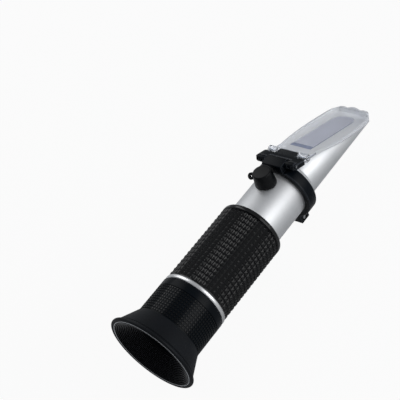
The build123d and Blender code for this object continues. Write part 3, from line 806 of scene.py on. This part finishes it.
@dataclass
class KnurledGrip(Assembly):
    """Rubber sleeve with rows of blunt pyramids and a smooth rounded front band."""

    bore_r: float = 13.52
    outer_r: float = 16.46
    groove_depth: float = 0.52
    back: float = 34.2
    front: float = 80.5
    knurl_back: float = 34.7
    rows: int = 16
    row_pitch: float = 2.68
    columns: int = 42
    steps_per_column: int = 3
    groove_width: float = 0.5
    tip_inset: float = 0.9
    band_slope: float = 0.3
    front_round: tuple[float, int] = (1.7, 7)
    smooth_angle: float = 14.0

    def build(self) -> None:
        """Turns the sleeve, rounds its front and raises the knurl on it."""
        floor_r = self.outer_r - self.groove_depth
        knurl_front = self.knurl_back + self.rows * self.row_pitch
        outline = [(self.back, self.bore_r), (self.back, floor_r)]
        outline += [
            (self.knurl_back + row * self.row_pitch, floor_r) for row in range(self.rows + 1)
        ]
        outline += [
            (knurl_front + self.band_slope, self.outer_r),
            (self.front, self.outer_r),
            (self.front, self.bore_r),
        ]
        rounds = {len(outline) - 2: self.front_round}
        shell = lathe(outline, self.columns * self.steps_per_column, rounds)
        self.raise_knurl(shell, floor_r, knurl_front)
        finishes, nodes = [KNURL_RUBBER, SUNK_RUBBER], ["rubber_grip"]
        self.finish_piece("knurled_grip", shell, Slot.RUBBER, finishes, nodes, self.smooth_angle)

    def raise_knurl(self, shell: bmesh.types.BMesh, floor_r: float, knurl_front: float) -> None:
        """Raises a low blunt pyramid on every cell of the knurled band.

        Args:
            shell: the sleeve.
            floor_r: radius of the grooves between the pyramids, in millimetres.
            knurl_front: front end of the band.
        """
        cells: dict[tuple[int, int], list[bmesh.types.BMFace]] = {}
        for face in shell.faces:
            place = place_of(face)
            if self.knurl_back < place < knurl_front and radius_of(face) > floor_r - FACET_SAG:
                middle = face.calc_center_median()
                turn = math.atan2(middle.x, middle.z - AXIS_Z) / (2 * math.pi) % 1.0
                row = int((place - self.knurl_back) / self.row_pitch)
                cells.setdefault((row, int(turn * self.columns)), []).append(face)
        joined = []
        for faces in cells.values():
            joined += bmesh.ops.dissolve_faces(shell, faces=faces, use_verts=False)["region"]
        half_groove = self.groove_width / 2 * MM
        grooves = bmesh.ops.inset_individual(
            shell, faces=joined, thickness=half_groove, use_even_offset=True
        )["faces"]
        for face in grooves:
            face.material_index = 1
        bmesh.ops.inset_individual(
            shell,
            faces=joined,
            thickness=self.tip_inset * MM,
            depth=self.groove_depth * MM,
            use_even_offset=True,
        )
        log.info("knurl of %d pyramids", len(joined))


@dataclass
class FocusingRing(Assembly):
    """Focusing ring with its field of small square studs, and the ribbed rubber eyecup.

    A round is its size in millimetres and its number of segments.
    """

    body: Body = Body.FOCUS
    ring_r: float = 16.71
    stud_height: float = 0.3
    ring_back: float = 12.3
    ring_front: float = 31.6
    stud_back: float = 12.75
    stud_rows: int = 10
    stud_pitch: float = 1.47
    stud_columns: int = 72
    stud_gap: float = 0.58
    stud_slope: float = 0.12
    front_round: tuple[float, int] = (0.35, 3)
    ring_smooth_angle: float = 28.0
    bore_r: float = 13.45
    neck_r: float = 15.2
    neck_back: float = 9.3
    recess_r: float = 14.5
    shoulder: float = 12.7
    rim_r: float = 22.71
    bead_r: float = 0.95
    bead_corners: int = 13
    mouth_r: float = 20.66
    mouth_place: float = 0.35
    ridge_r: float = 0.2
    ridge_corners: int = 5
    cone_end: tuple[float, float] = (2.8, 21.21)
    nick: tuple[float, float] = (2.4, 21.06)
    skirt_r: float = 16.9
    floor_place: float = 8.0
    floor_r: float = 10.6
    opening_r: float = 9.8
    rib_count: int = 16
    rib_height: float = 0.4
    rib_share: float = 0.6
    crest_share: float = 0.1
    inner_share: float = 0.5
    cup_steps: int = 160
    cup_smooth_angle: float = 24.0

    def build(self) -> None:
        """Builds the ring and the eyecup."""
        self.build_ring()
        self.build_eyecup()

    def build_ring(self) -> None:
        """Turns the ring and raises its studs."""
        floor_r = self.ring_r - self.stud_height
        stud_front = self.stud_back + self.stud_rows * self.stud_pitch
        outline = [
            (self.neck_back, self.recess_r),
            (self.neck_back, self.neck_r),
            (self.ring_back, self.neck_r),
            (self.ring_back, floor_r),
        ]
        outline += [
            (self.stud_back + row * self.stud_pitch, floor_r) for row in range(self.stud_rows + 1)
        ]
        outline += [
            (stud_front + self.stud_slope, self.ring_r),
            (self.ring_front, self.ring_r),
            (self.ring_front, self.bore_r),
            (self.shoulder, self.bore_r),
            (self.shoulder, self.recess_r),
        ]
        shell = lathe(outline, self.stud_columns, {len(outline) - 4: self.front_round})
        outside = [face for face in shell.faces if radius_of(face) > floor_r - FACET_SAG]
        cells = [face for face in outside if self.stud_back < place_of(face) < stud_front]
        bmesh.ops.inset_individual(
            shell, faces=cells, thickness=self.stud_gap / 2 * MM, use_even_offset=True
        )
        bmesh.ops.inset_individual(
            shell,
            faces=cells,
            thickness=self.stud_slope * MM,
            depth=self.stud_height * MM,
            use_even_offset=True,
        )
        for face in cells:
            face.material_index = 1
        self.finish_piece(
            "studded_focusing_ring",
            shell,
            Slot.BLACK_PLASTIC,
            [MOULDED_ABS, STUD_ABS],
            ["focus_ring"],
            self.ring_smooth_angle,
        )

    def build_eyecup(self) -> None:
        """Turns the conical cup with its round bead, its mouth's ridge and its ribbed funnel."""
        middle_r = self.rim_r - self.bead_r
        outline = [(self.ring_back, self.skirt_r), self.cone_end, self.nick]
        outline += arc((self.bead_r, middle_r), self.bead_r, 90, -90, self.bead_corners)
        ridge_middle = (self.mouth_place, self.mouth_r + self.ridge_r)
        outline += arc(ridge_middle, self.ridge_r, 0, -180, self.ridge_corners)
        outline += self.rib_corners()
        neck_back, neck_r = self.neck_back - FIT_GAP, self.neck_r + FIT_GAP
        outline += [
            (self.floor_place, self.opening_r),
            (neck_back, self.opening_r),
            (neck_back, neck_r),
            (self.ring_back, neck_r),
        ]
        shell = lathe(outline, self.cup_steps)
        for face in shell.faces:
            face.material_index = self.eyecup_finish(face)
        self.finish_piece(
            "flared_eyecup",
            shell,
            Slot.RUBBER,
            [SOFT_RUBBER, SUNK_RUBBER, CREST_HIGHLIGHT_RUBBER, MOUTH_HIGHLIGHT_RUBBER],
            ["eyecup"],
            self.cup_smooth_angle,
        )

    def rib_corners(self) -> list[tuple[float, float]]:
        """Works out the stepped outline of the funnel's ribs.

        Returns:
            (y, radius) corners from the mouth down to the funnel's floor.
        """
        depth = (self.floor_place - self.mouth_place) / self.rib_count
        width = (self.mouth_r - self.floor_r) / self.rib_count
        corners = []
        for rib in range(1, self.rib_count + 1):
            foot, foot_r = self.mouth_place + rib * depth, self.mouth_r - rib * width
            base, base_r = foot - self.rib_share * depth, foot_r + self.rib_share * width
            crest = base - self.rib_height
            crest_r = foot_r + self.crest_share * width
            corners += [(base, base_r), (crest, base_r), (crest, crest_r), (foot, foot_r)]
        return corners

    def eyecup_finish(self, face: bmesh.types.BMFace) -> int:
        """Chooses a face's finish by its place on the eyecup.

        Args:
            face: a face of the turned cup.

        Returns:
            Its material number: 0 for the outside, 1 for sunk places, 2 for the ribs' crests with
            their painted highlight and 3 for the ridge round the mouth with its painted
            highlight.
        """
        radius, place = radius_of(face), place_of(face)
        faces_eye = face.normal.y < -FACING
        in_funnel = radius < self.mouth_r and place < self.floor_place
        # In the funnel, the faces towards the eye are the ribs' crests, painted pale as a
        # highlight
        if in_funnel and outward(face) < self.inner_share:
            return 2 if faces_eye else 1
        # The ridge round the mouth is painted pale as a highlight
        if self.mouth_r < radius < self.mouth_r + 2 * self.ridge_r and place < self.mouth_place:
            return 3
        return 1 if faces_eye and radius < self.rim_r - self.bead_r else 0


@dataclass
class Ocular(Assembly):
    """The sliding eyepiece inside the guide tube."""

    body: Body = Body.OCULAR

    def build(self) -> None:
        """Dresses the cell, its lenses and its pin."""
        self.dress(["ocular_cell", "lens_spacer", "lens_ring"], BLACK_ANODISED)
        self.dress(["field_lens"], OPTICAL_GLASS)
        self.dress(["guide_pin"], TURNED_STEEL)
        self.refine("eye_lens", Slot.GLASS, OPTICAL_GLASS)


@dataclass
class SlantFace:
    """The slanting face of the nose, along which the prism and the cover lie."""

    start: float = 116.8
    start_height: float = 12.23
    slope: float = 19.9

    def normal(self) -> Vector:
        """Direction off the face."""
        slope = math.radians(self.slope)
        return Vector((0.0, math.sin(slope), math.cos(slope)))

    def direction(self) -> Vector:
        """Direction down the slope."""
        slope = math.radians(self.slope)
        return Vector((0.0, math.cos(slope), -math.sin(slope)))

    def point(self, along: float) -> Vector:
        """The face's point a number of millimetres down the slope from its start."""
        start = Vector((0.0, RIM_Y + self.start * MM, AXIS_Z + self.start_height * MM))
        return start + self.direction() * (along * MM)

    def along_and_off(self, point: Vector) -> tuple[float, float]:
        """Places a point by the face.

        Args:
            point: a point in the frame, in metres.

        Returns:
            Millimetres down the slope from its start, and height off the face.
        """
        slope = math.radians(self.slope)
        forth = (point.y - RIM_Y) / MM - self.start
        up = (point.z - AXIS_Z) / MM - self.start_height
        along = forth * math.cos(slope) - up * math.sin(slope)
        off = forth * math.sin(slope) + up * math.cos(slope)
        return along, off


@dataclass
class PrismNose(Assembly):
    """Slanted nose with the prism, its blue backing and the sealant round it."""

    edge_break: float = 0.15
    face_margin: float = 0.05

    def build(self) -> None:
        """Dresses the nose, with the marks of the cutter on its slanting face."""
        face_plane = SlantFace()
        shell = merged_copy("prism_barrel")
        break_edges(shell, self.edge_break)
        for face in shell.faces:
            along, off = face_plane.along_and_off(face.calc_center_median())
            if abs(off) < self.face_margin and along > 0:
                face.material_index = 1
        finishes = [SATIN_ALUMINIUM, MILLED_ALUMINIUM]
        self.finish_piece("slanted_nose", shell, Slot.ALUMINIUM, finishes, ["prism_barrel"])
        self.refine("main_prism", Slot.GLASS, PRISM_GLASS)
        self.refine("prism_sealant", Slot.SEALANT, CURED_SEALANT)
        self.dress(["prism_seat"], BLUE_PAINT)


@dataclass
class Cover(Assembly):
    """Holder and daylight plate on their two pins.

    Places on the plate are millimetres down the slanting face, heights are off that face.
    """

    body: Body = Body.HOLDER
    holder_break: float = 0.16
    pin_break: float = 0.1
    plate_break: float = 0.15
    panel_half_width: float = 6.3
    panel_off: float = 1.85
    panel_margin: float = 0.06
    clear_end: float = 6.0
    strip_near: float = 10.4
    strip_far: float = 13.9
    side_line: float = 5.6
    rim_off: float = 2.4
    rim_margin: float = 0.05
    sweep_start: float = 15.0
    sweep_end: float = 57.5
    sweep_height: float = 1.85
    sweep_power: float = 2.5

    def build(self) -> None:
        """Dresses the cover."""
        holder = ("cover_holder", Slot.BLACK_PLASTIC, MOULDED_ABS, self.holder_break)
        # The holder's broken edges are painted paler as a highlight
        self.refine(*holder, edge_highlight=HIGHLIGHT_EDGE_ABS)
        self.refine("hinge_pin", Slot.STEEL, TURNED_STEEL, self.pin_break, Body.TUBE)
        self.refine("plate_pin", Slot.STEEL, TURNED_STEEL, self.pin_break)
        self.build_plate()

    def build_plate(self) -> None:
        """Dresses the plate: milky, with a frosted panel and polished clear hinge lobes."""
        face_plane = SlantFace()
        shell = merged_copy("daylight_plate")
        self.raise_rim(shell, face_plane)
        break_edges(shell, self.plate_break)
        self.part_panel(shell, face_plane)
        for face in shell.faces:
            face.material_index = self.plate_finish(face, face_plane)
        self.finish_piece(
            "daylight_plate_finished",
            shell,
            Slot.CLEAR_PLASTIC,
            [MILKY_ACRYLIC, FROSTED_ACRYLIC, POLISHED_ACRYLIC, PRISM_BLUE_ACRYLIC],
            ["daylight_plate"],
            body=Body.PLATE,
        )

    def is_upper(self, face: bmesh.types.BMFace, face_plane: SlantFace) -> bool:
        """Says whether a face looks off the slope, from the panel's height upwards."""
        off = face_plane.along_and_off(face.calc_center_median())[1]
        facing = face.normal.dot(face_plane.normal()) > FACING
        return facing and off > self.panel_off - self.panel_margin

    def plate_finish(self, face: bmesh.types.BMFace, face_plane: SlantFace) -> int:
        """Chooses a face's finish by its place on the plate.

        Args:
            face: a face of the plate.
            face_plane: the face that the plate lies on.

        Returns:
            Its material number: 0 for the milky plate, 1 for the frosted panel, 2 for the clear
            hinge lobes and 3 for the panel's margins, painted with the prism's blue as seen
            through them.
        """
        middle = face.calc_center_median()
        along, off = face_plane.along_and_off(middle)
        across = middle.x / MM
        upper = self.is_upper(face, face_plane)
        on_panel = abs(off - self.panel_off) < self.panel_margin
        in_strip = self.strip_near < along < self.strip_far
        in_line = across > self.side_line and along > self.strip_far and on_panel
        # The prism's blue seen through the plate is painted on the near strip and on the +x rim
        # line only
        if upper and abs(across) < self.panel_half_width and (in_strip or in_line):
            return 3
        if upper and off < self.panel_off + self.panel_margin:
            return 1
        return 2 if along < self.clear_end else 0

    def part_panel(self, shell: bmesh.types.BMesh, face_plane: SlantFace) -> None:
        """Cuts the upper faces where the panel's frost ends and its clear margins begin.

        Args:
            shell: the plate.
            face_plane: the face that it lies on.
        """
        down, across = face_plane.direction(), Vector((1.0, 0.0, 0.0))
        cuts = [(face_plane.point(along), down) for along in (self.strip_near, self.strip_far)]
        for side in (-self.panel_half_width, self.panel_half_width, self.side_line):
            cuts.append((across * side * MM, across))
        for place, direction in cuts:
            upper = [face for face in shell.faces if self.is_upper(face, face_plane)]
            edges = {edge for face in upper for edge in face.edges}
            verts = {vert for face in upper for vert in face.verts}
            bmesh.ops.bisect_plane(
                shell,
                geom=[*upper, *edges, *verts],
                dist=CUT_REACH * MM,
                plane_co=place,
                plane_no=direction,
            )

    def raise_rim(self, shell: bmesh.types.BMesh, face_plane: SlantFace) -> None:
        """Lets the rim climb in a smooth sweep up to the ends of the finger lip.

        Args:
            shell: the plate.
            face_plane: the face that it lies on.
        """
        length = self.sweep_end - self.sweep_start
        for vert in shell.verts:
            along, off = face_plane.along_and_off(vert.co)
            if abs(off - self.rim_off) < self.rim_margin and along > self.sweep_start:
                share = (along - self.sweep_start) / length
                rise = self.sweep_height * share**self.sweep_power
                vert.co += face_plane.normal() * (rise * MM)


@dataclass
class Clamp(Assembly):
    """Split clamp ring with its screw and nut."""

    edge_break: float = 0.1
    nut_break: float = 0.08

    def build(self) -> None:
        """Dresses the clamp."""
        ring = ("clamp_ring", Slot.BLACK_PLASTIC, MOULDED_ABS, self.edge_break)
        # The clamp ring's broken edges are painted paler as a highlight
        self.refine(*ring, edge_highlight=HIGHLIGHT_EDGE_ABS)
        self.refine("clamp_screw", Slot.STEEL, TURNED_STEEL, self.edge_break)
        self.refine("clamp_nut", Slot.BLACK_METAL, BLACK_ANODISED, self.nut_break)


@dataclass
class Calibration(Assembly):
    """Calibration screw under its cap, and the objective that it shifts."""

    cap_break: float = 0.18
    bush_break: float = 0.15
    screw_break: float = 0.1

    def build(self) -> None:
        """Dresses the calibration parts."""
        cap = ("rubber_cap", Slot.RUBBER, MOULDED_RUBBER, self.cap_break, Body.CAP)
        # The cap's broken edges are painted paler as a highlight
        self.refine(*cap, edge_highlight=HIGHLIGHT_EDGE_RUBBER)
        self.refine("calibration_bush", Slot.BRASS, TURNED_BRASS, self.bush_break)
        screw = ("calibration_screw", Slot.STEEL, TURNED_STEEL, self.screw_break, Body.SCREW)
        self.refine(*screw)
        self.dress(["calibration_block"], TURNED_BRASS)
        self.dress(["bimetal_strip", "strip_screws"], TURNED_STEEL)
        self.dress(["objective_cell"], BLACK_ANODISED)
        self.dress(["objective_lens"], OPTICAL_GLASS)


# Stage


@dataclass(frozen=True)
class SoftBox:
    """A square or oblong lamp that looks at the middle of the object.

    Its place and its sides are in metres, the place from the optical axis at the object's
    middle, and its power is in watts.
    """

    name: str
    place: tuple[float, float, float]
    width: float
    height: float
    power: float

    def build(self) -> None:
        """Hangs the lamp."""
        light = bpy.data.lights.new(self.name, "AREA")
        light.energy = self.power
        light.shape = "RECTANGLE"
        light.size = self.width
        light.size_y = self.height
        lamp = bpy.data.objects.new(self.name, light)
        bpy.context.scene.collection.objects.link(lamp)
        middle = Vector((0.0, 0.0, AXIS_Z))
        lamp.location = middle + Vector(self.place)
        lamp.rotation_euler = (-Vector(self.place)).to_track_quat("-Z", "Y").to_euler()


@dataclass
class Studio:
    """Pale floor, soft lights and the camera of the photograph.

    The camera's place is in metres from the eyecup's rim and the optical axis. Shares say how
    much of the plain white shows to the camera and to glossy surfaces.
    """

    lamps: tuple[SoftBox, ...] = (
        SoftBox("key", place=(0.62, 0.2, 0.27), width=0.7, height=0.55, power=1.2),
        SoftBox("spark", place=(0.62, 0.2, 0.27), width=0.36, height=0.12, power=1.0),
        SoftBox("fill", place=(-0.45, 0.1, 0.55), width=0.6, height=0.6, power=1.35),
    )
    camera_place: tuple[float, float, float] = (0.275, -0.13155, 0.32486)
    camera_way: tuple[float, float, float] = (-0.62552, 0.43492, -0.64774)
    camera_up: tuple[float, float, float] = (-0.23747, 0.6847, 0.68906)
    focal_length: float = 89.46
    sensor_width: float = 36.0
    near_clip: float = 0.01
    floor_size: float = 3.0
    white: str = "#ffffff"
    paper_colour: str = "#d4d5d6"
    paper_roughness: float = 0.5
    floor_white: float = 0.94
    floor_glossy: float = 0.08
    room_colour: str = "#eef1f5"
    room_light: float = 0.31
    room_white: float = 1.0
    room_glossy: float = 0.03

    def build(self) -> None:
        """Builds the stage."""
        self.build_floor()
        self.build_world()
        for lamp in self.lamps:
            lamp.build()
        self.build_camera()

    def white_share(
        self, tree: bpy.types.NodeTree, seen: float, glossy: float
    ) -> bpy.types.NodeSocket:
        """Works out how much plain white a ray meets.

        Args:
            tree: the node tree of the floor or the world.
            seen: share for the camera and for rays through glass.
            glossy: share for reflections, which adds to the first.

        Returns:
            The share's output.
        """
        path = add_node(tree, "ShaderNodeLightPath")
        looks = {0: path.outputs["Is Camera Ray"], 1: path.outputs["Is Transmission Ray"]}
        direct = add_node(tree, "ShaderNodeMath", looks, operation="MAXIMUM")
        part = {0: direct.outputs[0], 1: seen}
        share = add_node(tree, "ShaderNodeMath", part, operation="MULTIPLY")
        mirrored = {0: path.outputs["Is Glossy Ray"], 1: glossy, 2: share.outputs[0]}
        return add_node(tree, "ShaderNodeMath", mirrored, operation="MULTIPLY_ADD").outputs[0]

    def build_floor(self) -> None:
        """Lays a white floor that keeps the object's soft shadow."""
        material, tree = new_material("white paper floor")
        share = self.white_share(tree, self.floor_white, self.floor_glossy)
        paper = {"Color": linear(self.paper_colour), "Roughness": self.paper_roughness}
        lit = add_node(tree, "ShaderNodeBsdfDiffuse", paper)
        plain = {"Color": linear(self.white), "Strength": 1.0}
        white = add_node(tree, "ShaderNodeEmission", plain)
        both = {0: share, 1: lit.outputs[0], 2: white.outputs[0]}
        mixed = add_node(tree, "ShaderNodeMixShader", both)
        add_node(tree, "ShaderNodeOutputMaterial", {"Surface": mixed.outputs[0]})
        plane = bmesh.new()
        bmesh.ops.create_grid(plane, x_segments=1, y_segments=1, size=self.floor_size / 2)
        mesh = bpy.data.meshes.new("floor")
        plane.to_mesh(mesh)
        plane.free()
        mesh.materials.append(material)
        floor = bpy.data.objects.new("floor", mesh)
        bpy.context.scene.collection.objects.link(floor)

    def build_world(self) -> None:
        """Gives the room a soft grey light and a white backdrop."""
        world = bpy.data.worlds.new("studio")
        bpy.context.scene.world = world
        world.use_nodes = True
        tree = world.node_tree
        tree.nodes.clear()
        share = self.white_share(tree, self.room_white, self.room_glossy)
        grey = {"Color": linear(self.room_colour), "Strength": self.room_light}
        room = add_node(tree, "ShaderNodeBackground", grey)
        plain = {"Color": linear(self.white), "Strength": 1.0}
        white = add_node(tree, "ShaderNodeBackground", plain)
        both = {0: share, 1: room.outputs[0], 2: white.outputs[0]}
        mixed = add_node(tree, "ShaderNodeMixShader", both)
        add_node(tree, "ShaderNodeOutputWorld", {"Surface": mixed.outputs[0]})

    def build_camera(self) -> None:
        """Puts the camera where the photograph was taken from."""
        camera = bpy.data.cameras.new("camera")
        camera.lens = self.focal_length
        camera.sensor_width = self.sensor_width
        camera.clip_start = self.near_clip
        holder = bpy.data.objects.new("camera", camera)
        bpy.context.scene.collection.objects.link(holder)
        back = -Vector(self.camera_way).normalized()
        right = Vector(self.camera_up).cross(back).normalized()
        turn = Matrix((right, back.cross(right), back)).transposed()
        place = Vector((0.0, RIM_Y, AXIS_Z)) + Vector(self.camera_place)
        holder.matrix_world = Matrix.Translation(place) @ turn.to_4x4()
        bpy.context.scene.camera = holder


def main() -> None:
    """Builds every sub-assembly and the stage."""
    logging.basicConfig(level=logging.INFO, format="%(message)s")
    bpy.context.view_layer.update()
    assemblies = [
        SilverTube(),
        KnurledGrip(),
        FocusingRing(),
        Ocular(),
        PrismNose(),
        Cover(),
        Clamp(),
        Calibration(),
    ]
    for assembly in assemblies:
        log.info("building %s", type(assembly).__name__)
        assembly.build()
    Studio().build()
    bpy.context.scene.view_settings.view_transform = "Standard"
    log.info("sizes written")


if __name__ == "__main__":
    main()
